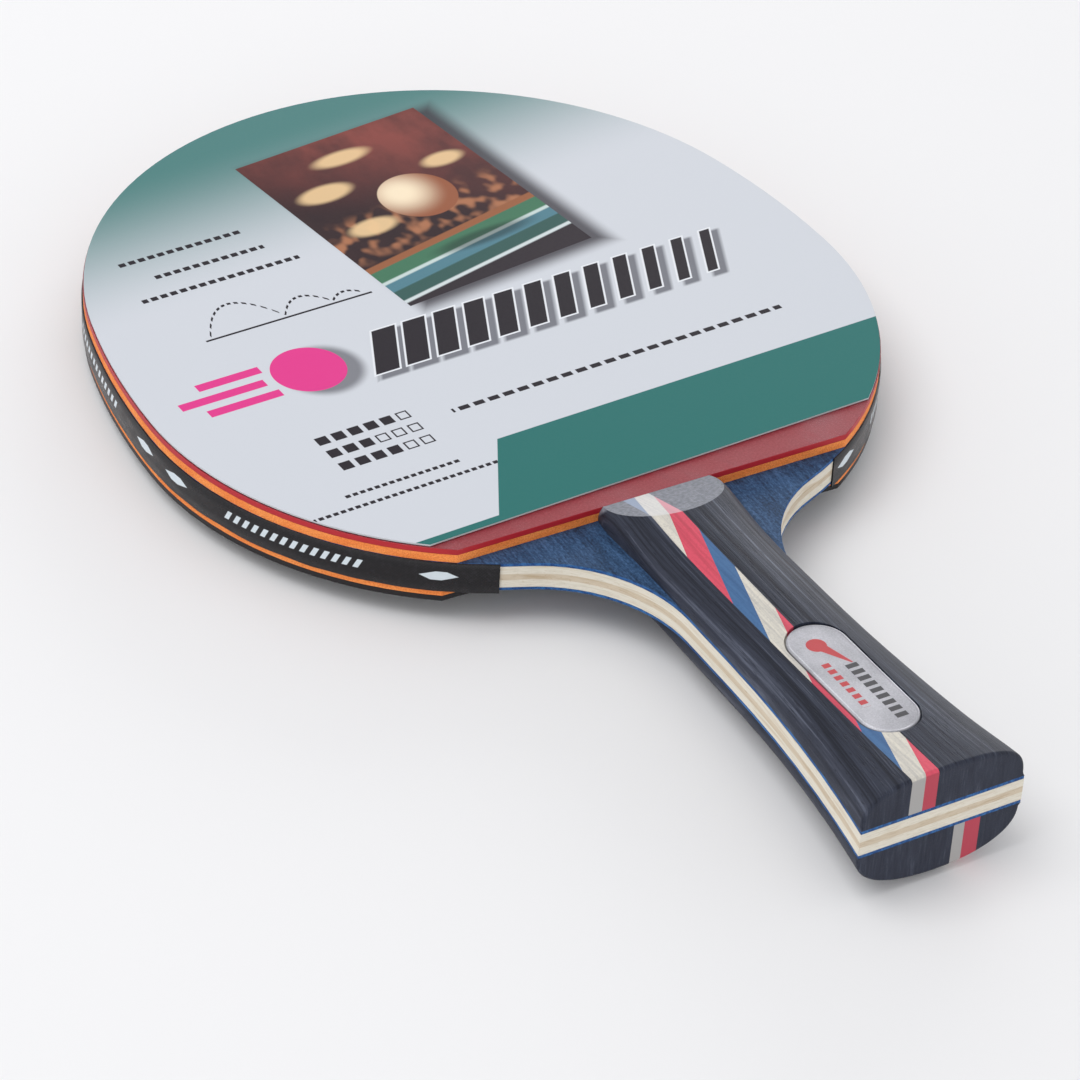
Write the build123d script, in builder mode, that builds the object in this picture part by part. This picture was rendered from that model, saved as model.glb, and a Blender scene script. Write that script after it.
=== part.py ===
"""Table tennis paddle: five-ply blade, two laminated handle scales, rubbers, edge tape and card.

Distances along the paddle are measured from the butt of the handle, so every plan sketch is drawn
on BLADE, the mid-plane of the blade, whose own origin is at the butt and whose Y runs to the head.
The shared frame has its origin below the middle of the paddle, with +Z out of the front (red) side.
"""
from build123d import *
import os
from math import acos, cos, degrees, radians, sin, tan

os.makedirs("parts", exist_ok=True)

# ---------------------------------------------------------------- driving dimensions, millimetres
BLADE_LENGTH = 255.4        # butt to tip of the bare blade
CROWN_RADIUS = 75.0         # round top of the head
CROWN_ANGLE = 77.4          # degrees of that arc on each side of the tip
SIDE_RADIUS = 169.0         # flatter side of the head, down to the widest place
LOWER_RADIUS = 72.0         # lower half of the head
NECK_RADIUS = 30.0          # concave wing between the head and the handle

VENEER = 0.7                # dyed outer plies
INNER_PLY = 1.75            # pale plies under them
CORE_PLY = 1.3              # middle ply

WAIST_HALF_WIDTH = 12.7     # handle at its narrowest
BUTT_HALF_WIDTH = 17.2      # handle at the butt
FLARE_LENGTH = 50.0         # length over which the handle flares
SIDE_WALL = 0.8             # upright strip of a scale before it rounds over
FRONT_CROWN = (5.9, 7.4)    # height of a scale's rounded part, at the waist and at the butt
BACK_CROWN = (7.2, 8.6)
FRONT_FULLNESS = (0.55, 0.75)   # shoulders of its section: 0.55 is an ellipse, 1 nearly a box
BACK_FULLNESS = (0.61, 0.61)
FULLNESS_ZONE = (34.0, 62.0)    # where the section changes from the butt's fullness to the waist's
BUTT_ROUNDING = 0.8         # rounded rim of the butt

RUBBER_CUT = 98.6           # straight lower edge of the rubbers, and upper end of the scales
BACK_RUBBER_TURN = 1.4      # degrees the back rubber's lower edge is askew
SPONGE = 1.75
TOPSHEET = 1.25
FILM = 0.1                  # clear protective film on each rubber

BEVEL_LOW = 3.0             # height of the scale's bevel above the blade where it meets the rubber
BEVEL_LENGTH = 12.0         # length of the bevel along the crown

BAND_WIDTH = 5.6            # inlaid band of slanted strips
BAND_RISE = 21.5            # how far a strip boundary climbs across the band
FRONT_BAND_LEFT = -7.4
BACK_BAND_LEFT = 3.0
BACK_BAND_SHIFT = 2.0       # the back band's pattern sits this much nearer the head
STRIP_LENGTHS = {"blue": 12.8, "white": 14.0, "red": 16.2}
STRIP_ORDER = ["blue", "white", "red"] * 3
FIRST_STRIP_TOP = 123.5     # upper end, on the band's right side, of the strip nearest the head

PLATE_LENGTH = 34.4         # metal nameplate let into the front scale
PLATE_WIDTH = 11.8
PLATE_THICKNESS = 0.8
PLATE_CENTRE = (-0.3, 30.0)
PLATE_TOP = 9.95            # its top face above the blade's mid-plane
PLATE_TILT = 1.6            # degrees, rising towards the butt
PLATE_EDGE = 0.35           # rounded rim
POCKET_GAP = 0.3

TAPE_THICKNESS = 0.35
TAPE_HEIGHT = 7.0
TAPE_LOW = -3.85            # lower edge from the mid-plane: the tape sits a little towards the back
TAPE_ENDS = (-35.8, 38.3)   # X of its two ends on the wings
TAPE_END_ZONE = 110.0       # nothing above this distance from the butt is trimmed at the ends

CARD_THICKNESS = 0.35
CARD_GAP = 0.1              # it lies loose on the film
CARD_INSET = 0.2
CARD_CUT = 104.0            # straight lower edge, on the centre line
CARD_TURN = 2.8             # degrees it lies askew

# ---------------------------------------------------------------- worked out from them
HALF_BLADE = VENEER + INNER_PLY + CORE_PLY / 2
HALF_GRIP = HALF_BLADE + SIDE_WALL + BACK_CROWN[1]
OVERALL_LENGTH = BLADE_LENGTH + TAPE_THICKNESS
BLADE = Plane(origin=(0, -OVERALL_LENGTH / 2, HALF_GRIP))

crown = radians(CROWN_ANGLE)
HEAD_HALF_WIDTH = CROWN_RADIUS * sin(crown) + SIDE_RADIUS * (1 - sin(crown))
neck_offset = WAIST_HALF_WIDTH + NECK_RADIUS - HEAD_HALF_WIDTH + LOWER_RADIUS
WING_ANGLE = degrees(acos(neck_offset / (LOWER_RADIUS + NECK_RADIUS)))

FILM_TOP = HALF_BLADE + SPONGE + TOPSHEET + FILM
LARGE = 400.0               # bigger than the paddle, for trimming shapes


def save(piece, name):
    """Label a finished piece and write its STEP file."""
    piece.part.label = name
    export_step(piece.part, f"parts/{name}.step")


def flare(distance, waist, butt):
    """A handle size that grows as a parabola from the waist to the butt."""
    return waist + (butt - waist) * max(0.0, 1 - distance / FLARE_LENGTH) ** 2


# ---------------------------------------------------------------- plan shapes, drawn from the butt
with BuildSketch() as blade_plan:
    with BuildLine():
        top_arc = JernArc((0, BLADE_LENGTH), (1, 0), CROWN_RADIUS, -CROWN_ANGLE)
        side_arc = JernArc(top_arc @ 1, top_arc % 1, SIDE_RADIUS, CROWN_ANGLE - 90)
        lower_arc = JernArc(side_arc @ 1, side_arc % 1, LOWER_RADIUS, -WING_ANGLE)
        neck_arc = JernArc(lower_arc @ 1, lower_arc % 1, NECK_RADIUS, WING_ANGLE)
        waist_line = Line(neck_arc @ 1, (WAIST_HALF_WIDTH, FLARE_LENGTH))
        Bezier(waist_line @ 1, (WAIST_HALF_WIDTH, FLARE_LENGTH / 2), (BUTT_HALF_WIDTH, 0))
        Line((BUTT_HALF_WIDTH, 0), (0, 0))
        mirror(about=Plane.YZ)
    make_face()

with BuildSketch() as rubber_plan:
    add(blade_plan.sketch)
    with Locations((0, RUBBER_CUT)):
        Rectangle(LARGE, LARGE, align=(Align.CENTER, Align.MIN), mode=Mode.INTERSECT)

with BuildSketch() as back_rubber_plan:
    add(blade_plan.sketch)
    with Locations((WAIST_HALF_WIDTH, RUBBER_CUT)):
        Rectangle(
            LARGE, LARGE, rotation=-BACK_RUBBER_TURN, align=(Align.CENTER, Align.MIN), mode=Mode.INTERSECT
        )

with BuildSketch() as card_plan:
    add(blade_plan.sketch)
    offset(amount=-CARD_INSET)
    with Locations((0, CARD_CUT)):
        Rectangle(LARGE, LARGE, rotation=CARD_TURN, align=(Align.CENTER, Align.MIN), mode=Mode.INTERSECT)

with BuildSketch() as tape_plan:
    add(blade_plan.sketch)
    offset(amount=TAPE_THICKNESS)
    add(blade_plan.sketch, mode=Mode.SUBTRACT)
    with Locations((TAPE_ENDS[0], TAPE_END_ZONE)):
        Rectangle(TAPE_ENDS[1] - TAPE_ENDS[0], LARGE, align=(Align.MIN, Align.MAX), mode=Mode.SUBTRACT)


def layer(plan, bottom, thickness):
    """A flat layer of the paddle with the given plan."""
    with BuildPart() as flat:
        with BuildSketch(BLADE.offset(bottom)):
            add(plan.sketch)
        extrude(amount=thickness)
    return flat


# ---------------------------------------------------------------- blade: five glued plies
ply_stack = [
    ("blade_back_veneer", VENEER),
    ("blade_back_inner_ply", INNER_PLY),
    ("blade_core_ply", CORE_PLY),
    ("blade_front_inner_ply", INNER_PLY),
    ("blade_front_veneer", VENEER),
]
ply_bottom = -HALF_BLADE
for ply_name, ply_thickness in ply_stack:
    save(layer(blade_plan, ply_bottom, ply_thickness), ply_name)
    ply_bottom += ply_thickness

# ---------------------------------------------------------------- rubbers, films, tape and card
save(layer(rubber_plan, HALF_BLADE, SPONGE), "front_sponge")
save(layer(rubber_plan, HALF_BLADE + SPONGE, TOPSHEET), "front_topsheet")
save(layer(rubber_plan, HALF_BLADE + SPONGE + TOPSHEET, FILM), "front_protective_film")
save(layer(back_rubber_plan, -HALF_BLADE - SPONGE, SPONGE), "back_sponge")
save(layer(back_rubber_plan, -HALF_BLADE - SPONGE - TOPSHEET, TOPSHEET), "back_topsheet")
save(layer(back_rubber_plan, -FILM_TOP, FILM), "back_protective_film")
save(layer(tape_plan, TAPE_LOW, TAPE_HEIGHT), "edge_tape")
save(layer(card_plan, FILM_TOP + CARD_GAP, CARD_THICKNESS), "retail_card")

# ---------------------------------------------------------------- handle scales, whole, front side up
BODY_STATIONS = [BUTT_ROUNDING, 10, 20, 30, 40, 50, 62, 80, RUBBER_CUT]
RIM_ANGLES = [0, 30, 60, 90]


def draw_section(station, inset, crown_heights, fullnesses):
    """A scale's section at a distance from the butt, drawn in by the inset but not at its foot."""
    half_width = flare(station, WAIST_HALF_WIDTH, BUTT_HALF_WIDTH)
    height = flare(station, *crown_heights) - inset
    into_zone = (FULLNESS_ZONE[1] - station) / (FULLNESS_ZONE[1] - FULLNESS_ZONE[0])
    fullness = fullnesses[0] + (fullnesses[1] - fullnesses[0]) * max(0.0, min(1.0, into_zone))
    shoulder = HALF_BLADE + SIDE_WALL
    shoulder_half = half_width - inset
    origin = BLADE.from_local_coords((0, station, 0))
    with BuildSketch(Plane(origin=origin, x_dir=(1, 0, 0), z_dir=(0, -1, 0))) as section:
        with BuildLine():
            Bezier(
                (shoulder_half, shoulder),
                (shoulder_half, shoulder + fullness * height),
                (fullness * shoulder_half, shoulder + height),
                (0, shoulder + height),
            )
            Polyline((shoulder_half, shoulder), (half_width, HALF_BLADE), (0, HALF_BLADE))
            mirror(about=Plane.YZ)
        make_face()
    return section.sketch


def whole_scale(crown_heights, fullnesses):
    """A handle scale lying on the front of the blade, with its rounded butt rim and its bevel."""
    rim_sections = []
    for angle in RIM_ANGLES:
        station = BUTT_ROUNDING * (1 - cos(radians(angle)))
        inset = BUTT_ROUNDING * (1 - sin(radians(angle)))
        rim_sections.append(draw_section(station, inset, crown_heights, fullnesses))
    body_sections = [draw_section(station, 0.0, crown_heights, fullnesses) for station in BODY_STATIONS]

    with BuildPart() as scale:
        loft(rim_sections)
        loft(body_sections)

        crown_at_neck = SIDE_WALL + crown_heights[0]
        bevel_slope = (crown_at_neck - BEVEL_LOW) / BEVEL_LENGTH
        bevel_foot = BLADE.from_local_coords((0, RUBBER_CUT, HALF_BLADE + BEVEL_LOW))
        bevel = Plane(origin=bevel_foot, x_dir=(1, 0, 0), z_dir=(0, bevel_slope, 1))
        split(bisect_by=bevel, keep=Keep.BOTTOM)
    return scale


# The back scale is made the same way up and then turned over through the blade.
with BuildPart() as back_scale:
    add(whole_scale(BACK_CROWN, BACK_FULLNESS).part)
    mirror(about=BLADE, mode=Mode.REPLACE)

# ---------------------------------------------------------------- nameplate and its pocket
plate_origin = BLADE.from_local_coords((PLATE_CENTRE[0], PLATE_CENTRE[1], PLATE_TOP))
plate_plane = Plane(origin=plate_origin, x_dir=(1, 0, 0), z_dir=(0, tan(radians(PLATE_TILT)), 1))

with BuildPart() as nameplate:
    with BuildSketch(plate_plane):
        SlotOverall(PLATE_LENGTH, PLATE_WIDTH, rotation=90)
    extrude(amount=-PLATE_THICKNESS)
    fillet(nameplate.faces().sort_by(Axis.Z)[-1].edges(), PLATE_EDGE)
save(nameplate, "nameplate")

with BuildPart() as front_scale:
    add(whole_scale(FRONT_CROWN, FRONT_FULLNESS).part)
    with BuildSketch(plate_plane.offset(-PLATE_THICKNESS)):
        SlotOverall(PLATE_LENGTH + 2 * POCKET_GAP, PLATE_WIDTH + 2 * POCKET_GAP, rotation=90)
    extrude(amount=HALF_GRIP, mode=Mode.SUBTRACT)


# ---------------------------------------------------------------- scales cut into blocks and strips
def cut_piece(scale, corners):
    """The part of a scale that stands over a four-cornered region of the plan."""
    with BuildPart() as piece:
        add(scale.part)
        with BuildSketch(BLADE):
            with BuildLine():
                Polyline(*corners, close=True)
            make_face()
        extrude(amount=2 * HALF_GRIP, both=True, mode=Mode.INTERSECT)
    return piece


def save_scale(scale, side, band_left, shift):
    """Write one scale as its two dark blocks and the slanted strips laminated between them."""
    band_right = band_left + BAND_WIDTH
    left_block = [(-LARGE, -LARGE), (band_left, -LARGE), (band_left, LARGE), (-LARGE, LARGE)]
    right_block = [(band_right, -LARGE), (LARGE, -LARGE), (LARGE, LARGE), (band_right, LARGE)]
    save(cut_piece(scale, left_block), f"{side}_scale_left_block")
    save(cut_piece(scale, right_block), f"{side}_scale_right_block")

    strip_top = FIRST_STRIP_TOP + shift
    for count, colour in enumerate(STRIP_ORDER):
        strip_bottom = strip_top - STRIP_LENGTHS[colour]
        if count == len(STRIP_ORDER) - 1:
            strip_bottom = -LARGE
        corners = [
            (band_left, strip_top - BAND_RISE),
            (band_left, strip_bottom - BAND_RISE),
            (band_right, strip_bottom),
            (band_right, strip_top),
        ]
        save(cut_piece(scale, corners), f"{side}_strip_{colour}_{count // 3 + 1}")
        strip_top = strip_bottom


save_scale(front_scale, "front", FRONT_BAND_LEFT, 0.0)
save_scale(back_scale, "back", BACK_BAND_LEFT, BACK_BAND_SHIFT)
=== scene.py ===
"""Looks of the table tennis paddle: materials, printed card, nameplate, edge tape, studio and camera.

Everything is in metres in the frame of the CAD model: +Y runs from the butt to the tip of the head
and +Z comes out of the front rubber. MM turns the millimetre sizes below into metres.
"""
import math
import bpy
from mathutils import Matrix, Vector, noise


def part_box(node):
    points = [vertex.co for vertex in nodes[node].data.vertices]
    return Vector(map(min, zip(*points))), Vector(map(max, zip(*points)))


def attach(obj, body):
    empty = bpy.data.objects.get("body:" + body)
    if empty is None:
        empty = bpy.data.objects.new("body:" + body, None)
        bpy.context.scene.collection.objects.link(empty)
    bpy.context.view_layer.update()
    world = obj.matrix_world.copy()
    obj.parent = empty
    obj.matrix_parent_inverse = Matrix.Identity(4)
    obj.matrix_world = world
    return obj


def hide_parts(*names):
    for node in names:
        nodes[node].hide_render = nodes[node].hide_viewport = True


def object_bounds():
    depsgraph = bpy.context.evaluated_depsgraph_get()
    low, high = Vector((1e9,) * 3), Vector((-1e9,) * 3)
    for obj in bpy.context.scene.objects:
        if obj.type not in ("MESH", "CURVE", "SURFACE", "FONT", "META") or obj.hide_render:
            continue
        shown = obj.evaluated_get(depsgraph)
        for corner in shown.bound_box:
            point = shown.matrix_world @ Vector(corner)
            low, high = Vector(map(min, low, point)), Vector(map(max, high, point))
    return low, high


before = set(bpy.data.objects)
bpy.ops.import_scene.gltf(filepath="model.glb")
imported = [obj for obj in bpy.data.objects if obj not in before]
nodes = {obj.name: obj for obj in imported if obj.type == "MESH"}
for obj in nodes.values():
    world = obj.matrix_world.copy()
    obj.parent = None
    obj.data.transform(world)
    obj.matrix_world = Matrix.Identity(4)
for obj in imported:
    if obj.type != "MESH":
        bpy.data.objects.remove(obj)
cad_low, cad_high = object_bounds()
MM = 0.001

# ---------------------------------------------------------------- driving dimensions
CROWN_RADIUS = 75.0 * MM        # the head's outline without its tape, as in the CAD model
CROWN_ANGLE = math.radians(77.4)
SIDE_RADIUS = 169.0 * MM
LOWER_RADIUS = 72.0 * MM
LOWER_ANGLE = math.radians(66)  # that arc is followed this far, which is past the tape's ends

TAPE_PROUD = 0.33 * MM          # the tape's outer face beyond the blade
TAPE_ENDS = (-35.8 * MM, 38.3 * MM)  # where its two ends stop, left and right of the handle
TAPE_STEP = 0.8 * MM            # spacing of its cross-sections
TAPE_EDGE_WAVE = 0.22 * MM      # how far its cut edges wander
TAPE_REPEAT = 72.0 * MM         # its printed pattern
TAPE_PAIR_AT = 1.4 * MM         # the middle of a pair of diamonds, this far round from the tip
TAPE_PRINT_REACH = 216.0 * MM   # the print stops this far round from the tip
DIAMOND_PITCH = 12.4 * MM
DIAMOND_LENGTH = 7.5 * MM
DIAMOND_HEIGHT = 1.9 * MM
TAPE_PRINT_LEAN = 0.5           # its marks lean forward by this much of their height
DASH_HALF_PITCH = 1.1 * MM
DASH_HALF_HEIGHT = 0.95 * MM
DASH_ROW_HALF = 15.3 * MM       # half of the length that a row of dashes takes up
WEAVE_DENSITY = 9500.0          # radians of the tape's weave in a metre

FLARE_LENGTH = 50.0 * MM        # the handle widens over this length, and by this much of its waist
FLARE_GAIN = 0.354

PLATE_TILT = math.radians(1.6)
PLATE_THICKNESS = 0.8 * MM
PLATE_RIM = 0.55 * MM           # width of the nameplate's raised rim
PLATE_SINK = 0.07 * MM          # its face lies this much below the rim

# the card's print, in the card's own frame: x across it and y up from the paddle's butt
CARD_TURN = math.radians(2.8)   # the card and most of its print lie askew by this
SHADE_TURN = math.radians(7.0)  # its teal shading leans a little more
PICTURE_TURN = SHADE_TURN + 0.02
PICTURE_CENTRE = (5.8 * MM, 208.9 * MM)
PICTURE_HALF = (23.2 * MM, 31.4 * MM)
BALL_CENTRE = (-33.5 * MM, 165.0 * MM)
BALL_RADIUS = 7.6 * MM
BARS_FROM, BARS_TO = -23.5 * MM, 61.1 * MM
BARS_FOOT, BARS_TOP = 157.0 * MM, 170.6 * MM
BARS_LEAN = 0.5
BARS_HALF_PITCH = 3.525 * MM
CHART_LEFT, CHART_TOP = -45.0 * MM, 142.5 * MM
CHART_HALF_PITCH = 1.8 * MM
CHART_ROW_PITCH = 4.6 * MM
BOUNCE_GROUND = 184.0 * MM
GREEN_FOOT, GREEN_TOP = 105.6 * MM, 126.9 * MM
GREEN_NOTCH = (-13.5 * MM, 126.7 * MM)  # its slanted left edge passes through here
GREEN_LEAN = 0.6

FILM_GAP = 0.03 * MM            # each film stands this clear of the sheet below it
SHEET_BEVEL = 0.18 * MM
VENEER_BEVEL = 0.2 * MM

FLOOR_SIZE = 14.0
WORLD_LIGHT = 1.8
CAMERA_PLACE = (-0.34866, -0.56068, 0.47598)
CAMERA_TARGET = (-0.02345, -0.02620, 0.0125)
CAMERA_ROLL = math.radians(3.21)
CAMERA_LENS = 136.96            # millimetres, like the sensor's width
CAMERA_SENSOR = 36.0


def srgb(red, green, blue):
    """A display colour, 0 to 255, as the linear colour that shaders take."""
    def linear(value):
        value /= 255
        return value / 12.92 if value <= 0.04045 else ((value + 0.055) / 1.055) ** 2.4
    return (linear(red), linear(green), linear(blue), 1.0)


# ---------------------------------------------------------------- material nodes
class Recipe:
    """A new material, with short calls that add its nodes and join them."""

    def __init__(self, name):
        self.material = bpy.data.materials.new(name)
        self.material.use_nodes = True
        self.tree = self.material.node_tree
        self.shader = self.tree.nodes["Principled BSDF"]

    def node(self, kind, **settings):
        """A new node of this kind, with its settings by name."""
        made = self.tree.nodes.new(kind)
        for key, value in settings.items():
            setattr(made, key, value)
        return made

    def feed(self, socket, value):
        """Sets an input socket, or links it when the value is another node's output."""
        if isinstance(value, bpy.types.NodeSocket):
            self.tree.links.new(value, socket)
        else:
            socket.default_value = value

    def set(self, **inputs):
        """Sets the shader's inputs by name, with underscores for spaces."""
        for key, value in inputs.items():
            self.feed(self.shader.inputs[key.replace("_", " ")], value)

    def place(self, scale=(1, 1, 1), turn=0.0, shift=(0, 0, 0)):
        """Object coordinates, moved by -shift, turned about Z by -turn, then scaled."""
        coordinates = self.node("ShaderNodeTexCoord").outputs["Object"]
        moved = self.vector_math("SUBTRACT", coordinates, shift)
        if turn:
            turned = self.node("ShaderNodeVectorRotate", rotation_type="Z_AXIS")
            self.feed(turned.inputs["Vector"], moved)
            turned.inputs["Angle"].default_value = -turn
            moved = turned.outputs["Vector"]
        return self.vector_math("MULTIPLY", moved, scale)

    def vector_math(self, operation, first, second):
        made = self.node("ShaderNodeVectorMath", operation=operation)
        self.feed(made.inputs[0], first)
        self.feed(made.inputs[1], second)
        return made.outputs["Vector"]

    def math(self, operation, first, second=0.0):
        made = self.node("ShaderNodeMath", operation=operation)
        self.feed(made.inputs[0], first)
        self.feed(made.inputs[1], second)
        return made.outputs[0]

    def parts(self, vector):
        """The X, Y and Z outputs of a vector."""
        made = self.node("ShaderNodeSeparateXYZ")
        self.feed(made.inputs[0], vector)
        return made.outputs[0], made.outputs[1], made.outputs[2]

    def noise(self, vector, detail, roughness=0.5):
        """Soft noise of 0 to 1; the vector carries its scale."""
        made = self.node("ShaderNodeTexNoise")
        self.feed(made.inputs["Vector"], vector)
        made.inputs["Scale"].default_value = 1.0
        made.inputs["Detail"].default_value = detail
        made.inputs["Roughness"].default_value = roughness
        return made.outputs["Fac"]

    def spread(self, value, low, high, to_low=0.0, to_high=1.0, smooth=False):
        """Maps low..high to to_low..to_high, held at the ends."""
        made = self.node("ShaderNodeMapRange", interpolation_type="SMOOTHSTEP" if smooth else "LINEAR")
        self.feed(made.inputs["Value"], value)
        made.inputs["From Min"].default_value = low
        made.inputs["From Max"].default_value = high
        made.inputs["To Min"].default_value = to_low
        made.inputs["To Max"].default_value = to_high
        return made.outputs["Result"]

    def paint(self, under, mask, over):
        """The colour over where mask is 1 and the colour under where it is 0."""
        made = self.node("ShaderNodeMix", data_type="RGBA")
        self.feed(made.inputs["Factor"], mask)
        self.feed(made.inputs["A"], under)
        self.feed(made.inputs["B"], over)
        return made.outputs["Result"]

    def bump(self, height, depth, strength):
        """A normal from a height of 0 to 1, where 1 stands depth metres out."""
        made = self.node("ShaderNodeBump")
        made.inputs["Strength"].default_value = strength
        made.inputs["Distance"].default_value = depth
        self.feed(made.inputs["Height"], height)
        return made.outputs["Normal"]

    def normal(self):
        """The X, Y and Z of the surface's direction."""
        return self.parts(self.node("ShaderNodeNewGeometry").outputs["Normal"])

    def box(self, x, y, centre, half, soft):
        """1 inside a rectangle, fading to 0 over soft metres outside it."""
        across = self.math("SUBTRACT", self.math("ABSOLUTE", self.math("SUBTRACT", x, centre[0])), half[0])
        along = self.math("SUBTRACT", self.math("ABSOLUTE", self.math("SUBTRACT", y, centre[1])), half[1])
        return self.spread(self.math("MAXIMUM", across, along), 0.0, soft, 1.0, 0.0, smooth=True)

    def disc(self, x, y, centre, radii, soft):
        """1 inside an ellipse, fading to 0 over soft metres outside it."""
        across = self.math("DIVIDE", self.math("SUBTRACT", x, centre[0]), radii[0])
        along = self.math("DIVIDE", self.math("SUBTRACT", y, centre[1]), radii[1])
        squares = self.math("ADD", self.math("POWER", across, 2.0), self.math("POWER", along, 2.0))
        return self.spread(self.math("SQRT", squares), 1.0, 1.0 + soft / min(radii), 1.0, 0.0, smooth=True)


# ---------------------------------------------------------------- pieces
def dress(names, material):
    """Gives CAD nodes a material."""
    for name in names:
        slots = nodes[name].data.materials
        slots.clear()
        slots.append(material)


def loft_faces(rings, count, flip=False):
    """Faces that join rings of count points each and close both ends; flip turns them inside out."""
    faces = []
    for start in range(0, (rings - 1) * count, count):
        for step in range(count):
            after = (step + 1) % count
            faces.append((start + step, start + count + step, start + count + after, start + after))
    faces.append(tuple(range(count)))
    faces.append(tuple(reversed(range((rings - 1) * count, rings * count))))
    return [face[:1] + face[:0:-1] for face in faces] if flip else faces


def new_piece(name, verts, faces, material, body, replaced):
    """A mesh piece of the scene's own, riding on a CAD body and standing for CAD nodes."""
    mesh = bpy.data.meshes.new(name)
    mesh.from_pydata(verts, [], faces)
    mesh.materials.append(material)
    mesh.polygons.foreach_set("use_smooth", [True] * len(mesh.polygons))
    mesh.update()
    piece = bpy.data.objects.new(name, mesh)
    bpy.context.scene.collection.objects.link(piece)
    sharp = piece.modifiers.new("corners", "EDGE_SPLIT")
    sharp.split_angle = math.radians(50)
    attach(piece, body)
    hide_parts(*replaced)
    return piece


def soften(names, width):
    """Rounds the sharp edges of CAD nodes a little, with modifiers."""
    for name in names:
        weld = nodes[name].modifiers.new("joined_faces", "WELD")
        weld.merge_threshold = 0.001 * MM
        bevel = nodes[name].modifiers.new("soft_edge", "BEVEL")
        bevel.width = width
        bevel.segments = 2
        bevel.limit_method = "ANGLE"
        bevel.angle_limit = math.radians(60)
        even = nodes[name].modifiers.new("even_shading", "WEIGHTED_NORMAL")
        even.weight = 100


def lift_off(names, gap):
    """Thins films from both sides, so that no face lies in the face of the sheet below."""
    for name in names:
        thinner = nodes[name].modifiers.new("clear_of_sheet", "DISPLACE")
        thinner.mid_level = 0.0
        thinner.strength = -gap


# ---------------------------------------------------------------- wood
def bevel_mask(r):
    """1 on the sloped end of a handle scale, next to the rubber."""
    return r.spread(r.normal()[1], 0.18, 0.26)


def along_handle(r, scale):
    """Coordinates for grain that spreads with the handle's flare, scaled."""
    x, y, z = r.parts(r.place(shift=(0, cad_low.y, 0)))
    opening = r.math("POWER", r.spread(y, 0.0, FLARE_LENGTH, 1.0, 0.0), 2.0)
    width = r.math("ADD", r.math("MULTIPLY", opening, FLARE_GAIN), 1.0)
    joined = r.node("ShaderNodeCombineXYZ")
    r.feed(joined.inputs[0], r.math("DIVIDE", x, width))
    r.feed(joined.inputs[1], y)
    r.feed(joined.inputs[2], z)
    return r.vector_math("MULTIPLY", joined.outputs[0], scale)


def laminated_wood(name, dark, middle, light):
    """Dyed laminated wood: thin upright layers along the handle, seen as streaks on top and at the butt."""
    r = Recipe(name)
    fine = r.noise(along_handle(r, (2600, 30, 170)), detail=4, roughness=0.7)
    broad = r.noise(along_handle(r, (620, 9, 40)), detail=2)
    pores = r.noise(r.place((4200, 300, 4200), shift=(0, 0.7, 0)), detail=2)
    tone = r.math("ADD", r.math("MULTIPLY", fine, 0.62), r.math("MULTIPLY", broad, 0.38))
    colour = r.paint(dark, r.spread(tone, 0.38, 0.52), middle)
    colour = r.paint(colour, r.spread(tone, 0.54, 0.72), light)
    pore_mask = r.spread(pores, 0.58, 0.68, 0.0, 0.6)
    colour = r.paint(colour, pore_mask, dark)

    # the saw cut across the grain at the butt is more even
    end_grain = r.spread(r.normal()[1], -0.8, -0.95, 0.0, 0.55)
    colour = r.paint(colour, end_grain, middle)

    # the bevel at the head end is duller and paler than the polished rest: partly the sanded wood, partly a
    # painted glare
    dust = r.noise(r.place((1400, 1400, 1400), shift=(0.2, 0, 0)), detail=3)
    sanded_and_glare = r.math("MULTIPLY", bevel_mask(r), r.spread(dust, 0.3, 0.7, 0.5, 0.95))
    colour = r.paint(colour, sanded_and_glare, srgb(138, 141, 150))

    height = r.math("SUBTRACT", fine, pore_mask)
    r.set(
        Base_Color=colour,
        Roughness=r.spread(tone, 0.35, 0.65, 0.55, 0.46),
        Specular_IOR_Level=0.16,
        Normal=r.bump(height, 0.00007, 0.7),
    )
    return r.material


def strip_wood(name, base, shade):
    """A slanted inlay strip: even dye with a soft speckle and faint grain, with painted shade on the butt and
    a bevel painted paler, partly sanded and partly a painted glare.
    """
    r = Recipe(name)
    grain = r.noise(r.place((1500, 60, 200)), detail=3, roughness=0.6)
    speckle = r.noise(r.place((2600, 1900, 2600), shift=(0.2, 0, 0)), detail=2)
    colour = r.paint(base, r.spread(grain, 0.42, 0.7, 0.0, 0.7), shade)
    colour = r.paint(colour, r.spread(speckle, 0.5, 0.75, 0.0, 0.45), shade)
    # painted shade: the butt face takes the strip's darker tone
    colour = r.paint(colour, r.spread(r.normal()[1], -0.8, -0.95), shade)
    # paler on the bevel: partly sanded wood, partly a painted glare
    colour = r.paint(colour, r.math("MULTIPLY", bevel_mask(r), 0.4), srgb(196, 198, 206))
    r.set(
        Base_Color=colour,
        Roughness=0.5,
        Specular_IOR_Level=0.32,
        Normal=r.bump(grain, 0.00005, 0.6),
    )
    return r.material


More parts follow.
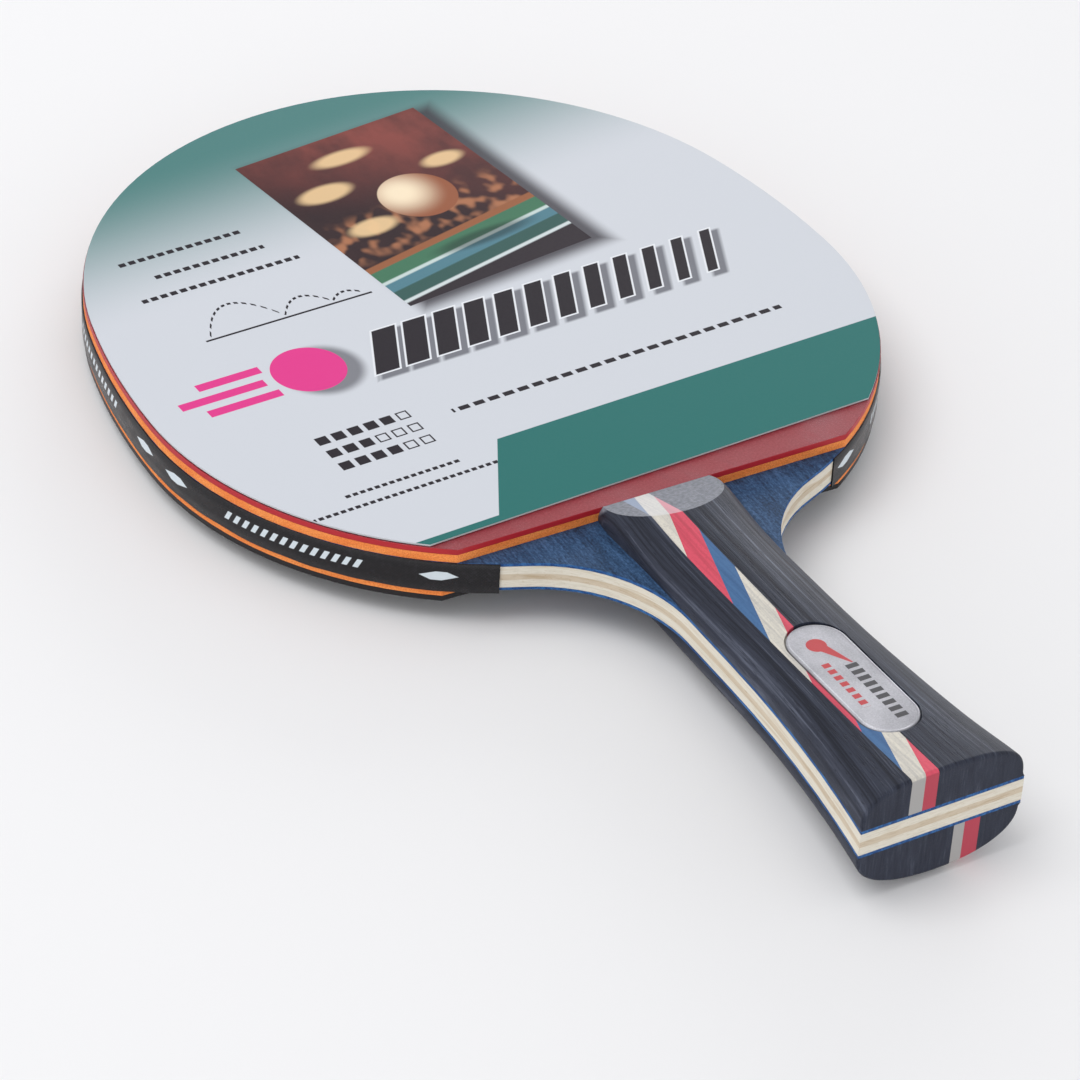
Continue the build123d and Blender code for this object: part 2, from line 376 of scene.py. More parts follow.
def veneer_wood():
    """Blue dyed veneer: a mottled, speckled dark face, brighter along its sanded edge."""
    r = Recipe("blue_veneer")
    grain = r.noise(r.place((1500, 130, 1500)), detail=4, roughness=0.7)
    speckle = r.noise(r.place((2300, 1300, 2300), shift=(0.7, 0, 0)), detail=3, roughness=0.7)
    blotch = r.noise(r.place((130, 55, 130), shift=(0.4, 0, 0)), detail=3)
    tone = r.math("ADD", r.math("MULTIPLY", grain, 0.35), r.math("MULTIPLY", speckle, 0.4))
    tone = r.math("ADD", tone, r.math("MULTIPLY", blotch, 0.25))
    face = r.paint(srgb(28, 47, 72), r.spread(tone, 0.4, 0.5), srgb(46, 75, 110))
    face = r.paint(face, r.spread(tone, 0.5, 0.62), srgb(72, 106, 148))
    edge = r.paint(srgb(26, 64, 118), r.spread(grain, 0.4, 0.65), srgb(56, 110, 168))
    flat = r.spread(r.math("ABSOLUTE", r.normal()[2]), 0.75, 0.97)
    r.set(
        Base_Color=r.paint(edge, flat, face),
        Roughness=0.6,
        Specular_IOR_Level=0.25,
        Normal=r.bump(tone, 0.00008, 0.6),
    )
    return r.material


def ply_wood(name, pale, deep, fleck):
    """A pale ply seen on its edge: long fibres with a few tan flecks."""
    r = Recipe(name)
    fibre = r.noise(r.place((500, 60, 4200)), detail=4, roughness=0.7)
    patch = r.noise(r.place((140, 70, 1500), shift=(0.6, 0, 0)), detail=2)
    pits = r.noise(r.place((1700, 500, 3400), shift=(0.1, 0.4, 0)), detail=2)
    colour = r.paint(pale, r.spread(fibre, 0.45, 0.7, 0.0, 0.9), deep)
    colour = r.paint(colour, r.spread(patch, 0.56, 0.74, 0.0, 0.6), fleck)
    colour = r.paint(colour, r.spread(pits, 0.64, 0.72, 0.0, 0.5), fleck)
    r.set(Base_Color=colour, Roughness=0.65, Specular_IOR_Level=0.3, Normal=r.bump(fibre, 0.00008, 0.7))
    return r.material


# ---------------------------------------------------------------- rubber, sponge, film
def sponge_foam():
    """Orange foam: fine open cells on the cut edge and slightly uneven dye."""
    r = Recipe("sponge")
    cells = r.node("ShaderNodeTexVoronoi", feature="F1")
    r.feed(cells.inputs["Vector"], r.place())
    cells.inputs["Scale"].default_value = 3800
    cell = r.spread(cells.outputs["Distance"], 0.1, 0.7)
    drift = r.noise(r.place((140, 140, 500)), detail=3)
    colour = r.paint(srgb(252, 154, 78), r.spread(drift, 0.42, 0.62), srgb(244, 138, 64))
    colour = r.paint(colour, r.spread(cell, 0.5, 0.95, 0.0, 0.4), srgb(190, 84, 28))
    r.set(Base_Color=colour, Roughness=0.85, Normal=r.bump(cell, 0.00012, 0.7))
    return r.material


def rubber_sheet(name, base, worn, side, film_gloss):
    """A smooth topsheet under its clinging film: the film's wrinkles bend only the coat's gloss."""
    r = Recipe(name)
    mottle = r.noise(r.place((2100, 2100, 2100)), detail=3, roughness=0.6)
    top = r.paint(base, r.spread(mottle, 0.42, 0.66), worn)
    up = r.spread(r.math("ABSOLUTE", r.normal()[2]), 0.4, 0.8)
    wrinkle = r.noise(r.place((46, 15, 1), turn=0.5), detail=3, roughness=0.55)
    grain = r.noise(r.place((2400, 2400, 2400), shift=(0.5, 0, 0)), detail=2)
    r.set(
        Base_Color=r.paint(side, up, top),
        Roughness=0.42,
        Specular_IOR_Level=0.28,
        Normal=r.bump(grain, 0.00003, 0.35),
        Coat_Weight=r.math("MULTIPLY", up, film_gloss),
        Coat_Roughness=0.12,
        Coat_Normal=r.bump(wrinkle, 0.0016, 0.6),
    )
    return r.material


def clear_film():
    """The clinging protective film: nearly all clear, with faint soft creases painted whiter as a painted
    sheen where light would catch them.
    """
    r = Recipe("clear_film")
    crease = r.noise(r.place((110, 26, 1), turn=0.5, shift=(0.2, 0.3, 0)), detail=4, roughness=0.65)
    r.set(
        Base_Color=srgb(232, 234, 240),
        # whiter and less clear along the creases: a painted sheen
        Alpha=r.spread(crease, 0.5, 0.74, 0.004, 0.05),
        Roughness=0.16,
        Normal=r.bump(crease, 0.0008, 0.4),
    )
    return r.material


# ---------------------------------------------------------------- edge tape
def printed_tape():
    """Black satin tape with silver diamonds in pairs and slanted dashes between them, repeating."""
    r = Recipe("printed_tape")
    along, height, _ = r.parts(r.node("ShaderNodeUVMap", uv_map="Layout").outputs["UV"])
    lean = r.math("MULTIPLY", height, TAPE_PRINT_LEAN)
    leaning = r.math("SUBTRACT", r.math("ADD", along, lean), TAPE_PAIR_AT)
    from_pair = r.math("PINGPONG", leaning, TAPE_REPEAT / 2)
    off_centre = r.math("ABSOLUTE", r.math("SUBTRACT", from_pair, DIAMOND_PITCH / 2))
    up_or_down = r.math("ABSOLUTE", height)

    # diamonds with sharp ends, their upper and lower corners cut flat
    reach = r.math("ADD", r.math("DIVIDE", off_centre, DIAMOND_LENGTH / 2),
                   r.math("DIVIDE", up_or_down, DIAMOND_HEIGHT * 0.72))
    blunt = r.spread(up_or_down, DIAMOND_HEIGHT / 2, DIAMOND_HEIGHT / 2 + 0.06 * MM, 1.0, 0.0)
    from_tip = r.math("ABSOLUTE", along)
    clear_of_ends = r.spread(from_tip, TAPE_PRINT_REACH, TAPE_PRINT_REACH + 0.1 * MM, 1.0, 0.0)
    diamond = r.math("MULTIPLY", r.spread(reach, 0.97, 1.03, 1.0, 0.0), blunt)
    diamond = r.math("MULTIPLY", diamond, clear_of_ends)

    # whole dashes only: seven on each side of the half-way point between pairs
    from_middle = r.math("SUBTRACT", TAPE_REPEAT / 2, from_pair)
    dash = r.spread(r.math("PINGPONG", from_middle, DASH_HALF_PITCH), 0.52 * MM, 0.6 * MM)
    row = r.spread(up_or_down, DASH_HALF_HEIGHT, DASH_HALF_HEIGHT + 0.07 * MM, 1.0, 0.0)
    zone = r.spread(from_middle, DASH_ROW_HALF, DASH_ROW_HALF + 0.1 * MM, 1.0, 0.0)
    dashes = r.math("MULTIPLY", r.math("MULTIPLY", dash, row), zone)
    silver = r.math("MAXIMUM", diamond, dashes)

    # a fine diagonal weave pressed into the tape
    rising = r.math("SINE", r.math("MULTIPLY", r.math("ADD", along, height), WEAVE_DENSITY))
    falling = r.math("SINE", r.math("MULTIPLY", r.math("SUBTRACT", along, height), WEAVE_DENSITY))
    weave = r.math("MULTIPLY", r.math("ADD", rising, falling), 0.5)
    scuff = r.noise(r.place((1300, 1300, 1300)), detail=4, roughness=0.7)
    crease = r.noise(r.place((220, 220, 500), shift=(0.1, 0, 0)), detail=3)
    black = r.paint(srgb(14, 12, 15), r.spread(scuff, 0.5, 0.75), srgb(36, 33, 38))
    black = r.paint(black, r.spread(weave, 0.4, 0.9, 0.0, 0.35), srgb(52, 49, 56))
    r.set(
        Base_Color=r.paint(black, silver, srgb(206, 216, 222)),
        Roughness=r.spread(crease, 0.3, 0.7, 0.24, 0.38),
        Specular_IOR_Level=0.3,
        Normal=r.bump(r.math("ADD", r.math("MULTIPLY", weave, 0.4), scuff), 0.00003, 0.4),
    )
    return r.material


def half_outline():
    """Points and outward directions down the head's right side, from the tip to the wing."""
    sine, cosine = math.sin(CROWN_ANGLE), math.cos(CROWN_ANGLE)
    half_width = CROWN_RADIUS * sine + SIDE_RADIUS * (1 - sine)
    tip_y = cad_high.y - (cad_high.x - half_width)
    crown_y = tip_y - CROWN_RADIUS
    side_x = (CROWN_RADIUS - SIDE_RADIUS) * sine
    side_y = crown_y + (CROWN_RADIUS - SIDE_RADIUS) * cosine
    lower_x = side_x + SIDE_RADIUS - LOWER_RADIUS
    arcs = [
        (0.0, crown_y, CROWN_RADIUS, math.pi / 2, math.pi / 2 - CROWN_ANGLE),
        (side_x, side_y, SIDE_RADIUS, math.pi / 2 - CROWN_ANGLE, 0.0),
        (lower_x, side_y, LOWER_RADIUS, 0.0, -LOWER_ANGLE),
    ]
    points = []
    for centre_x, centre_y, radius, start, end in arcs:
        steps = max(2, round(abs(end - start) * radius / TAPE_STEP))
        for step in range(steps):
            angle = start + (end - start) * step / steps
            outward = Vector((math.cos(angle), math.sin(angle)))
            points.append((Vector((centre_x, centre_y)) + outward * radius, outward))
    return points


def make_tape():
    """The edge tape as a closed band with slightly wandering edges, unrolled onto a UV map."""
    side = half_outline()
    left = [(Vector((-p.x, p.y)), Vector((-n.x, n.y))) for p, n in reversed(side)]
    path = left + side[1:]
    tape_low, tape_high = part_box("edge_tape")
    path = [(p, n) for p, n in path if p.y >= 0 or not TAPE_ENDS[0] < p.x < TAPE_ENDS[1]]
    tip = min(range(len(path)), key=lambda i: abs(path[i][0].x) + (path[i][0].y < 0))
    travel = [0.0]
    for (before, _), (after, _) in zip(path, path[1:]):
        travel.append(travel[-1] + (after - before).length)
    core_low, core_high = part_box("blade_core_ply")
    middle_z = (core_low.z + core_high.z) / 2
    inner = 0.01 * MM
    soft = 0.12 * MM

    verts, layout = [], []
    for (point, outward), at in zip(path, travel):
        arc = at - travel[tip]
        top = tape_high.z - TAPE_EDGE_WAVE * (0.5 + 0.5 * noise.noise(Vector((arc * 210, 3.1, 0))))
        bottom = tape_low.z + TAPE_EDGE_WAVE * (1 + 0.9 * noise.noise(Vector((arc * 150, 8.7, 0))))
        bulge = 0.03 * MM * noise.noise(Vector((arc * 320, 5.5, 0)))
        profile = [
            (inner, bottom), (TAPE_PROUD - soft, bottom), (TAPE_PROUD, bottom + soft),
            (TAPE_PROUD + bulge, (2 * bottom + top) / 3), (TAPE_PROUD - bulge, (bottom + 2 * top) / 3),
            (TAPE_PROUD, top - soft), (TAPE_PROUD - soft, top), (inner, top),
        ]
        for proud, z in profile:
            place = point + outward * proud
            verts.append((place.x, place.y, z))
            layout.append((arc, z - middle_z))
    faces = loft_faces(len(path), len(profile))
    tape = new_piece("edge_tape_band", verts, faces, printed_tape(), "paddle", ["edge_tape"])
    uv = tape.data.uv_layers.new(name="Layout")
    for loop in tape.data.loops:
        uv.data[loop.index].uv = layout[loop.vertex_index]


# ---------------------------------------------------------------- nameplate
def plate_metal(centre):
    """Satin aluminium with a small print: a red ball with a tail, a dark row of dashes and a red one."""
    r = Recipe("plate_metal")
    x, y, _ = r.parts(r.place(shift=(centre.x, centre.y, centre.z)))
    grit = r.noise(r.place((3200, 3200, 3200)), detail=3, roughness=0.7)
    cloud = r.noise(r.place((160, 90, 160), shift=(0.3, 0, 0)), detail=2)
    tone = r.math("ADD", r.math("MULTIPLY", grit, 0.4), r.math("MULTIPLY", cloud, 0.6))
    metal = r.paint(srgb(152, 152, 158), r.spread(tone, 0.36, 0.66), srgb(194, 194, 200))

    ball = r.disc(x, y, (-0.6 * MM, 11.0 * MM), (1.9 * MM, 1.9 * MM), 0.08 * MM)
    tail_width = r.spread(y, 3.6 * MM, 10.6 * MM, 0.1 * MM, 1.3 * MM)
    tail_side = r.math("ABSOLUTE", r.math("SUBTRACT", x, r.spread(y, 3.6 * MM, 11 * MM, 2.6 * MM, -0.6 * MM)))
    in_tail = r.spread(r.math("SUBTRACT", tail_side, tail_width), 0.0, 0.08 * MM, 1.0, 0.0)
    tail_length = r.box(x, y, (0, 7.3 * MM), (5.0 * MM, 3.4 * MM), 0.08 * MM)
    red_print = r.math("MAXIMUM", ball, r.math("MULTIPLY", in_tail, tail_length))

    beat = r.math("PINGPONG", r.math("ADD", y, 40 * MM), 1.0 * MM)
    dash = r.spread(beat, 0.36 * MM, 0.42 * MM)
    wide_row = r.box(x, y, (1.9 * MM, -5.0 * MM), (1.2 * MM, 9.0 * MM), 0.06 * MM)
    thin_row = r.box(x, y, (-2.3 * MM, -1.4 * MM), (0.75 * MM, 7.0 * MM), 0.06 * MM)
    dark_print = r.math("MULTIPLY", wide_row, dash)
    red_print = r.math("MAXIMUM", red_print, r.math("MULTIPLY", thin_row, dash))
    printed = r.math("MAXIMUM", red_print, dark_print)
    colour = r.paint(metal, dark_print, srgb(56, 56, 60))
    colour = r.paint(colour, red_print, srgb(184, 52, 58))
    r.set(
        Base_Color=colour,
        Metallic=r.spread(printed, 0.0, 1.0, 0.75, 0.1),
        Roughness=r.spread(grit, 0.35, 0.65, 0.5, 0.4),
        Normal=r.bump(grit, 0.00003, 0.5),
    )
    return r.material


def stadium(half_length, half_width):
    """Points round a stadium: a slot outline with half-round ends, long way along Y."""
    points = []
    steps = 24
    straight = half_length - half_width
    for end, first in ((1, 0.0), (-1, math.pi)):
        for step in range(steps + 1):
            angle = first + math.pi * step / steps
            points.append((half_width * math.cos(angle), end * straight + half_width * math.sin(angle)))
    return points


def make_plate():
    """The nameplate: a bent-over rim round a face that lies slightly lower, tilted with the handle."""
    low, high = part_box("nameplate")
    centre = (low + high) / 2
    half_length = (high.y - low.y) / 2 / math.cos(PLATE_TILT)
    half_width = (high.x - low.x) / 2
    sections = [
        (0.0, -PLATE_THICKNESS), (0.0, -0.32 * MM), (0.05 * MM, -0.16 * MM), (0.15 * MM, -0.05 * MM),
        (0.28 * MM, 0.0), (PLATE_RIM - 0.12 * MM, 0.0), (PLATE_RIM, -0.03 * MM),
        (PLATE_RIM + 0.1 * MM, -PLATE_SINK),
    ]
    tilt = Matrix.Rotation(-PLATE_TILT, 3, "X")
    verts = []
    for inset, z in sections:
        for x, y in stadium(half_length - inset, half_width - inset):
            verts.append(centre + tilt @ Vector((x, y, z + PLATE_THICKNESS / 2)))
    faces = loft_faces(len(sections), len(verts) // len(sections), flip=True)
    metal = plate_metal(centre)
    plate = new_piece("nameplate_plate", verts, faces, metal, "paddle", ["nameplate"])
    for face in plate.data.polygons[-2:]:
        face.use_smooth = False


# ---------------------------------------------------------------- printed card
def printed_card():
    """The retail card with a generic print: teal shading, a picture, small marks and a green block."""
    r = Recipe("printed_card")
    butt_y = cad_low.y
    ink = srgb(44, 40, 46)
    fog = srgb(96, 97, 106)
    _, y, _ = r.parts(r.place(turn=SHADE_TURN, shift=(0, butt_y, 0)))
    teal = r.spread(y, 198 * MM, 247 * MM, smooth=True)
    colour = r.paint(srgb(205, 209, 216), teal, srgb(80, 128, 126))

    picture_place = (PICTURE_CENTRE[0], butt_y + PICTURE_CENTRE[1], 0)
    x, y, _ = r.parts(r.place(turn=PICTURE_TURN, shift=picture_place))
    core = (PICTURE_HALF[0] - 1.6 * MM, PICTURE_HALF[1] - 1.6 * MM)
    shadow = r.box(x, y, (2.6 * MM, -1.8 * MM), core, 5.2 * MM)
    colour = r.paint(colour, r.math("MULTIPLY", shadow, 0.9), srgb(58, 54, 62))
    colour = r.paint(colour, r.box(x, y, (0, 0), PICTURE_HALF, 0.1 * MM), card_picture(r, x, y))

    x, y, _ = r.parts(r.place(turn=CARD_TURN, shift=(0, butt_y, 0)))
    colour = flying_ball(r, colour, x, y)
    colour = slanted_bars(r, colour, x, y, ink, fog)
    colour = thin_rules(r, colour, x, y, ink)
    colour = bounce_path(r, colour, x, y, ink)
    colour = rating_chart(r, colour, x, y, ink)
    colour = green_block(r, colour, x, y)

    up = r.spread(r.normal()[2], 0.5, 0.6)
    fibre = r.noise(r.place((1500, 1500, 1500)), detail=3)
    colour = r.paint(srgb(186, 188, 192), up, colour)
    r.set(
        Base_Color=colour,
        Roughness=r.spread(fibre, 0.3, 0.7, 0.42, 0.52),
        Specular_IOR_Level=0.06,
        Normal=r.bump(fibre, 0.00002, 0.3),
    )
    return r.material


def green_block(r, colour, x, y):
    """The green block along the card's lower edge, notched at its left end."""
    lean = r.math("MULTIPLY", r.math("SUBTRACT", y, GREEN_NOTCH[1]), GREEN_LEAN)
    right_of = r.spread(r.math("SUBTRACT", x, lean), GREEN_NOTCH[0], GREEN_NOTCH[0] + 0.1 * MM)
    below_top = r.spread(y, GREEN_TOP, GREEN_TOP + 0.1 * MM, 1.0, 0.0)
    foot = r.spread(y, GREEN_FOOT, GREEN_FOOT + 0.1 * MM, 1.0, 0.0)
    block = r.math("MAXIMUM", r.math("MULTIPLY", right_of, below_top), foot)
    return r.paint(colour, block, srgb(46, 112, 108))


def flying_ball(r, colour, x, y):
    """A pink ball with a soft shadow and three speed lines behind it."""
    pink = srgb(222, 62, 140)
    shadow_at = (BALL_CENTRE[0] + 2.4 * MM, BALL_CENTRE[1] - 1.6 * MM)
    shadow = r.disc(x, y, shadow_at, (BALL_RADIUS * 0.9, BALL_RADIUS * 0.9), 2.8 * MM)
    colour = r.paint(colour, r.math("MULTIPLY", shadow, 0.8), srgb(96, 96, 104))
    for level, start, end in ((4.4, -56.0, -42.1), (0.0, -62.0, -43.3), (-4.4, -58.0, -42.1)):
        middle = ((start + end) / 2 * MM, BALL_CENTRE[1] + level * MM)
        half = ((end - start) / 2 * MM, 1.1 * MM)
        colour = r.paint(colour, r.box(x, y, middle, half, 0.12 * MM), pink)
    return r.paint(colour, r.disc(x, y, BALL_CENTRE, (BALL_RADIUS, BALL_RADIUS), 0.12 * MM), pink)


def slanted_bars(r, colour, x, y, ink, fog):
    """A row of slanted bars that thin out to the right, outlined in white over a soft shadow."""
    centre = ((BARS_FROM + BARS_TO) / 2, (BARS_FOOT + BARS_TOP) / 2)
    half = ((BARS_TO - BARS_FROM) / 2, (BARS_TOP - BARS_FOOT) / 2)

    def bars(dx, dy, grow, soft):
        """1 on the bars, moved by dx and dy and wider all round by grow."""
        lean = r.math("MULTIPLY", r.math("SUBTRACT", y, BARS_FOOT), BARS_LEAN)
        leaned = r.math("SUBTRACT", r.math("SUBTRACT", x, dx), lean)
        beat = r.math("PINGPONG", r.math("SUBTRACT", leaned, BARS_FROM), BARS_HALF_PITCH)
        half_width = r.spread(leaned, BARS_FROM, BARS_TO, 2.7 * MM + grow, 1.1 * MM + grow)
        beyond = r.math("SUBTRACT", r.math("SUBTRACT", BARS_HALF_PITCH, beat), half_width)
        wide = r.spread(beyond, 0.0, soft, 1.0, 0.0)
        band = r.box(leaned, y, (centre[0], centre[1] + dy), (half[0], half[1] + grow), soft)
        return r.math("MULTIPLY", wide, band)

    shadow = r.math("MULTIPLY", bars(1.6 * MM, -1.5 * MM, 0.2 * MM, 1.0 * MM), 0.85)
    colour = r.paint(colour, shadow, fog)
    colour = r.paint(colour, bars(0, 0, 0.45 * MM, 0.1 * MM), srgb(226, 229, 234))
    return r.paint(colour, bars(0, 0, 0, 0.1 * MM), ink)


def thin_rules(r, colour, x, y, ink):
    """Thin rules of short dashes, where a card would carry its small print."""
    rows = (
        (-35.0, 215.6, 14.0, 0.62, 1.1), (-32.0, 208.4, 12.5, 0.62, 1.1), (-33.0, 201.6, 18.0, 0.62, 1.1),
        (23.0, 139.2, 39.0, 0.62, 1.7), (-36.0, 124.4, 12.8, 0.42, 0.8), (-37.0, 120.6, 20.5, 0.42, 0.8),
    )
    for centre_x, level, half_length, half_height, pitch in rows:
        beat = r.math("PINGPONG", r.math("ADD", x, 100 * MM), pitch * MM)
        dash = r.spread(beat, 0.28 * pitch * MM, (0.28 * pitch + 0.08) * MM)
        bar = r.box(x, y, (centre_x * MM, level * MM), (half_length * MM, half_height * MM), 0.08 * MM)
        colour = r.paint(colour, r.math("MULTIPLY", dash, bar), ink)
    return colour


def bounce_path(r, colour, x, y, ink):
    """The dotted path of a ball that bounces, lower each time, on a thin line."""
    dot = r.spread(r.math("PINGPONG", r.math("ADD", x, 62 * MM), 0.7 * MM), 0.26 * MM, 0.32 * MM)
    for start, width, height in ((-45.0, 17.0, 9.0), (-28.0, 11.0, 4.6), (-17.0, 7.0, 2.0)):
        middle, half = (start + width / 2) * MM, width / 2 * MM
        across = r.math("DIVIDE", r.math("SUBTRACT", x, middle), half)
        drop = r.math("MULTIPLY", r.math("POWER", across, 2.0), height * MM)
        above = r.math("SUBTRACT", y, BOUNCE_GROUND + height * MM)
        near = r.spread(r.math("ABSOLUTE", r.math("ADD", above, drop)), 0.32 * MM, 0.4 * MM, 1.0, 0.0)
        window = r.box(x, y, (middle, BOUNCE_GROUND + 5 * MM), (half, 5 * MM), 0.05 * MM)
        colour = r.paint(colour, r.math("MULTIPLY", r.math("MULTIPLY", near, window), dot), ink)
    line = r.box(x, y, (-27.5 * MM, BOUNCE_GROUND - 0.9 * MM), (19.0 * MM, 0.25 * MM), 0.06 * MM)
    return r.paint(colour, line, ink)


def rating_chart(r, colour, x, y, ink):
    """Three rows of small square cells, the first few of each filled in, like a speed and spin chart."""
    beat = r.math("PINGPONG", r.math("SUBTRACT", x, CHART_LEFT), CHART_HALF_PITCH)
    from_cell = r.math("SUBTRACT", CHART_HALF_PITCH, beat)
    half_row = 6 * CHART_HALF_PITCH
    for row, filled in enumerate((5, 3, 4)):
        level = CHART_TOP - row * CHART_ROW_PITCH
        reach = r.math("MAXIMUM", from_cell, r.math("ABSOLUTE", r.math("SUBTRACT", y, level)))
        solid = r.spread(reach, 1.25 * MM, 1.31 * MM, 1.0, 0.0)
        hollow = r.spread(reach, 0.9 * MM, 0.96 * MM)
        last = CHART_LEFT + 2 * CHART_HALF_PITCH * filled
        full = r.spread(x, last, last + 0.1 * MM, 1.0, 0.0)
        row_ends = r.box(x, y, (CHART_LEFT + half_row, level), (half_row, 2 * MM), 0.01 * MM)
        cells = r.math("MULTIPLY", solid, r.math("MAXIMUM", hollow, full))
        colour = r.paint(colour, r.math("MULTIPLY", cells, row_ends), ink)
    return colour


def card_picture(r, x, y):
    """An invented scene: a ball over a table edge, with the blurred lights of a hall behind it."""
    rising = r.math("ADD", y, r.math("MULTIPLY", x, 0.6))
    dusk = r.spread(rising, -8 * MM, 36 * MM, smooth=True)
    colour = r.paint(srgb(48, 36, 40), dusk, srgb(136, 72, 66))
    smoke = r.noise(r.place((60, 36, 1)), detail=4, roughness=0.6)
    colour = r.paint(colour, r.spread(smoke, 0.4, 0.65, 0.0, 0.7), srgb(64, 44, 46))
    crowd = r.noise(r.place((260, 200, 1), shift=(0.2, 0, 0)), detail=1)
    stand = r.box(x, y, (0, -6 * MM), (24 * MM, 4 * MM), 6 * MM)
    busy = r.math("MULTIPLY", r.spread(crowd, 0.45, 0.68, smooth=True), stand)
    colour = r.paint(colour, r.math("MULTIPLY", busy, 0.75), srgb(190, 128, 92))
    lights = (
        ((-13, 13), (4.6, 2.2)), ((-12, -3), (4.0, 2.0)), ((16, 11), (3.2, 1.6)), ((-2, 23), (4.4, 1.6)),
    )
    for centre, radii in lights:
        at = (centre[0] * MM, centre[1] * MM)
        glow = r.disc(x, y, at, (radii[0] * MM, radii[1] * MM), 1.6 * MM)
        colour = r.paint(colour, r.math("MULTIPLY", glow, 0.85), srgb(236, 202, 154))

    sloped = r.math("SUBTRACT", y, r.math("MULTIPLY", x, 0.12))
    bands = (
        (-13.0, srgb(150, 96, 66)), (-15.0, srgb(70, 118, 92)), (-19.0, srgb(196, 212, 210)),
        (-20.0, srgb(84, 128, 142)), (-23.0, srgb(58, 92, 88)), (-26.6, srgb(206, 216, 218)),
        (-27.6, srgb(52, 46, 52)),
    )
    for level, tint in bands:
        colour = r.paint(colour, r.spread(sloped, level * MM, (level + 0.4) * MM, 1.0, 0.0), tint)
    shade = r.disc(x, y, (5 * MM, -18.5 * MM), (7 * MM, 1.4 * MM), 1.8 * MM)
    colour = r.paint(colour, r.math("MULTIPLY", shade, 0.6), srgb(34, 48, 48))
    ball = r.disc(x, y, (3 * MM, 2 * MM), (8.4 * MM, 8.4 * MM), 0.3 * MM)
    lit = r.disc(x, y, (0.4 * MM, 4.6 * MM), (1.4 * MM, 1.4 * MM), 9.0 * MM)
    return r.paint(colour, ball, r.paint(srgb(150, 92, 66), lit, srgb(244, 226, 196)))


# ---------------------------------------------------------------- dress the CAD nodes
# each strip's dye and its darker tone, which also serves as the painted shade on the butt face
STRIP_TINTS = {
    "blue": (srgb(67, 107, 152), srgb(49, 84, 128)),
    "white": (srgb(214, 209, 197), srgb(164, 162, 160)),
    "red": (srgb(213, 78, 99), srgb(178, 62, 79)),
}


def dress_frame():
    """Every CAD node's material, and the modifiers on its edges."""
    dark = laminated_wood("dark_wood", srgb(29, 32, 42), srgb(50, 54, 67), srgb(100, 106, 122))
    dress([name for name in nodes if name.endswith("_block")], dark)
    for tint, (base, shade) in STRIP_TINTS.items():
        dress([name for name in nodes if f"_strip_{tint}_" in name], strip_wood(f"strip_{tint}", base, shade))
    dress(["blade_front_veneer", "blade_back_veneer"], veneer_wood())
    pale = ply_wood("pale_ply", srgb(222, 216, 202), srgb(204, 196, 178), srgb(196, 176, 146))
    core = ply_wood("core_ply", srgb(206, 192, 170), srgb(188, 170, 145), srgb(172, 146, 112))
    dress(["blade_front_inner_ply", "blade_back_inner_ply"], pale)
    dress(["blade_core_ply"], core)
    dress(["front_sponge", "back_sponge"], sponge_foam())
    red = rubber_sheet("red_rubber", srgb(138, 36, 46), srgb(154, 52, 62), srgb(176, 34, 44), 0.35)
    black = rubber_sheet("black_rubber", srgb(20, 19, 21), srgb(32, 31, 33), srgb(28, 25, 27), 0.25)
    dress(["front_topsheet"], red)
    dress(["back_topsheet"], black)
    films = ["front_protective_film", "back_protective_film"]
    dress(films, clear_film())
    lift_off(films, FILM_GAP)
    dress(["retail_card"], printed_card())
    soften(["front_topsheet", "back_topsheet"], SHEET_BEVEL)
    soften(["blade_front_veneer", "blade_back_veneer"], VENEER_BEVEL)


# ---------------------------------------------------------------- studio
def make_floor():
    """A pale floor that the paddle rests on with its handle and the far edge of its head."""
    film_low, film_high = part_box("back_protective_film")
    tip = Vector((0, film_high.y, film_low.z))
    scale = [node for name, node in nodes.items() if name.startswith("back_scale_")]
    points = [vertex.co for node in scale for vertex in node.data.vertices]
    slope = max((tip.z - point.z) / (tip.y - point.y) for point in points)
    half = FLOOR_SIZE / 2
    corners = [(-half, -half), (half, -half), (half, half), (-half, half)]
    mesh = bpy.data.meshes.new("floor")
    mesh.from_pydata([(x, y, slope * y) for x, y in corners], [], [(0, 1, 2, 3)])
    floor = bpy.data.objects.new("floor", mesh)
    floor.location = (0, 0, tip.z - slope * tip.y - 0.05 * MM)
    bpy.context.scene.collection.objects.link(floor)
    r = Recipe("floor")
    r.set(Base_Color=srgb(240, 240, 241), Roughness=0.9, Specular_IOR_Level=0.1)
    mesh.materials.append(r.material)


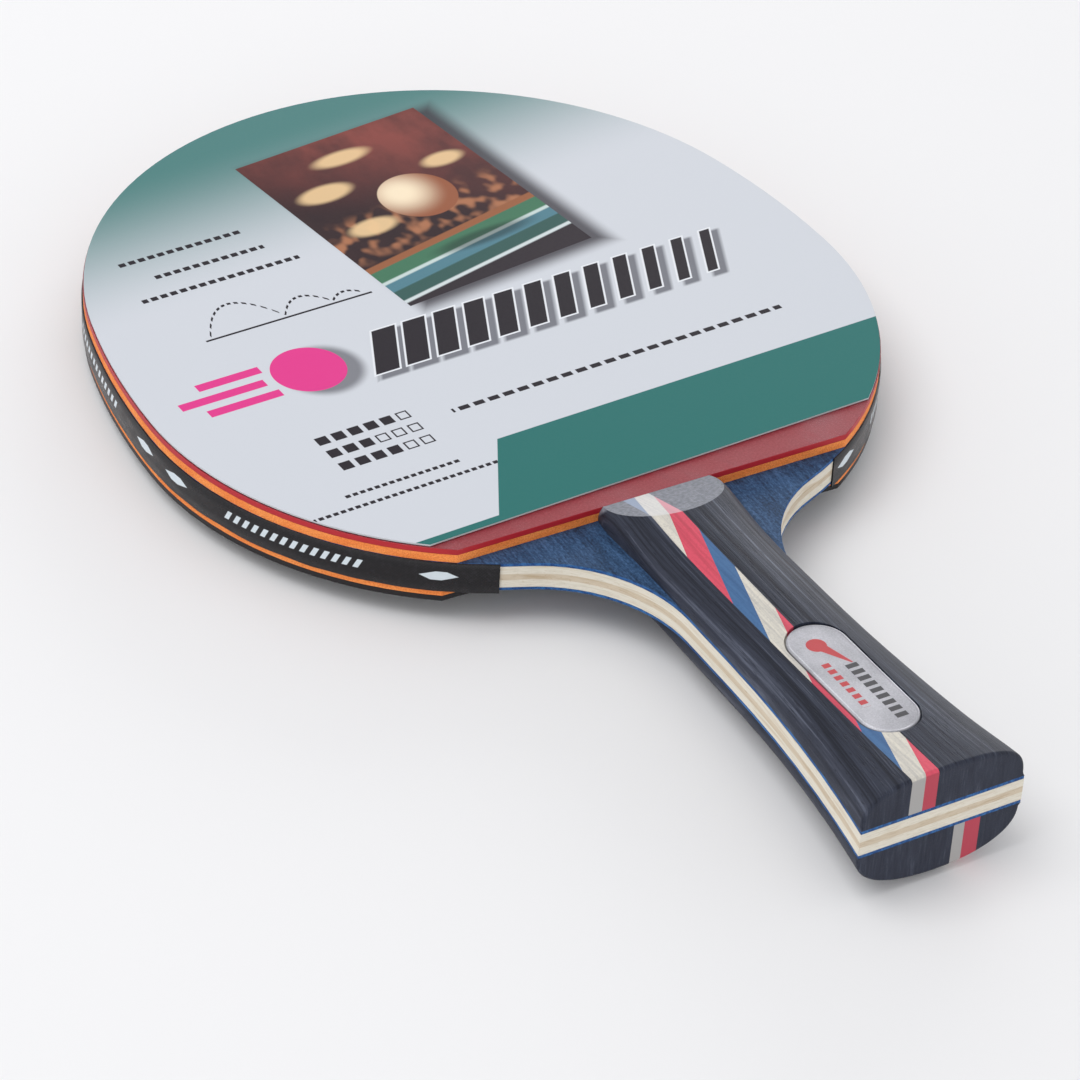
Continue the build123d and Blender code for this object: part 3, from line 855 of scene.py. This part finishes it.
def soft_light(name, place, target, size, power):
    """A rectangular lamp of so many watts that faces its target and stays out of the picture."""
    light = bpy.data.lights.new(name, "AREA")
    light.shape = "RECTANGLE"
    light.size, light.size_y = size
    light.energy = power
    lamp = bpy.data.objects.new(name, light)
    lamp.location = place
    lamp.rotation_mode = "QUATERNION"
    lamp.rotation_quaternion = (Vector(target) - Vector(place)).to_track_quat("-Z", "Y")
    lamp.visible_camera = False
    bpy.context.scene.collection.objects.link(lamp)


def make_world():
    """A light tent: bright from the horizon down, dimmer overhead."""
    world = bpy.data.worlds.new("light_tent")
    world.use_nodes = True
    bpy.context.scene.world = world
    tree = world.node_tree
    place = tree.nodes.new("ShaderNodeTexCoord")
    split = tree.nodes.new("ShaderNodeSeparateXYZ")
    ramp = tree.nodes.new("ShaderNodeValToRGB")
    tree.links.new(place.outputs["Generated"], split.inputs[0])
    tree.links.new(split.outputs[2], ramp.inputs["Fac"])
    stops = [(0.0, 1.0), (0.16, 1.0), (0.38, 0.42), (0.62, 0.27), (1.0, 0.36)]
    ramp.color_ramp.elements[0].position = stops[0][0]
    ramp.color_ramp.elements[1].position = stops[-1][0]
    for position, _ in stops[1:-1]:
        ramp.color_ramp.elements.new(position)
    for element, (_, level) in zip(ramp.color_ramp.elements, stops):
        element.color = (level, level, level * 1.015, 1.0)
    background = tree.nodes["Background"]
    background.inputs["Strength"].default_value = WORLD_LIGHT
    tree.links.new(ramp.outputs["Color"], background.inputs["Color"])


def make_camera():
    """A long lens, aimed at its target and rolled a little."""
    data = bpy.data.cameras.new("camera")
    data.sensor_width = CAMERA_SENSOR
    data.lens = CAMERA_LENS
    data.clip_start = 0.05
    camera = bpy.data.objects.new("camera", data)
    aim = (Vector(CAMERA_TARGET) - Vector(CAMERA_PLACE)).to_track_quat("-Z", "Y")
    camera.rotation_mode = "QUATERNION"
    camera.rotation_quaternion = aim @ Matrix.Rotation(CAMERA_ROLL, 3, "Z").to_quaternion()
    camera.location = CAMERA_PLACE
    bpy.context.scene.collection.objects.link(camera)
    bpy.context.scene.camera = camera


# ---------------------------------------------------------------- the scene
dress_frame()
make_tape()
make_plate()
make_floor()
make_world()
soft_light("key", (-0.5, 0.1, 1.1), (0, 0, 0), (0.9, 0.9), 6.0)
soft_light("rim", (0.9, 0.9, 0.35), (0, 0, 0), (0.8, 0.5), 4.2)
make_camera()
bpy.context.scene.view_settings.view_transform = "Standard"
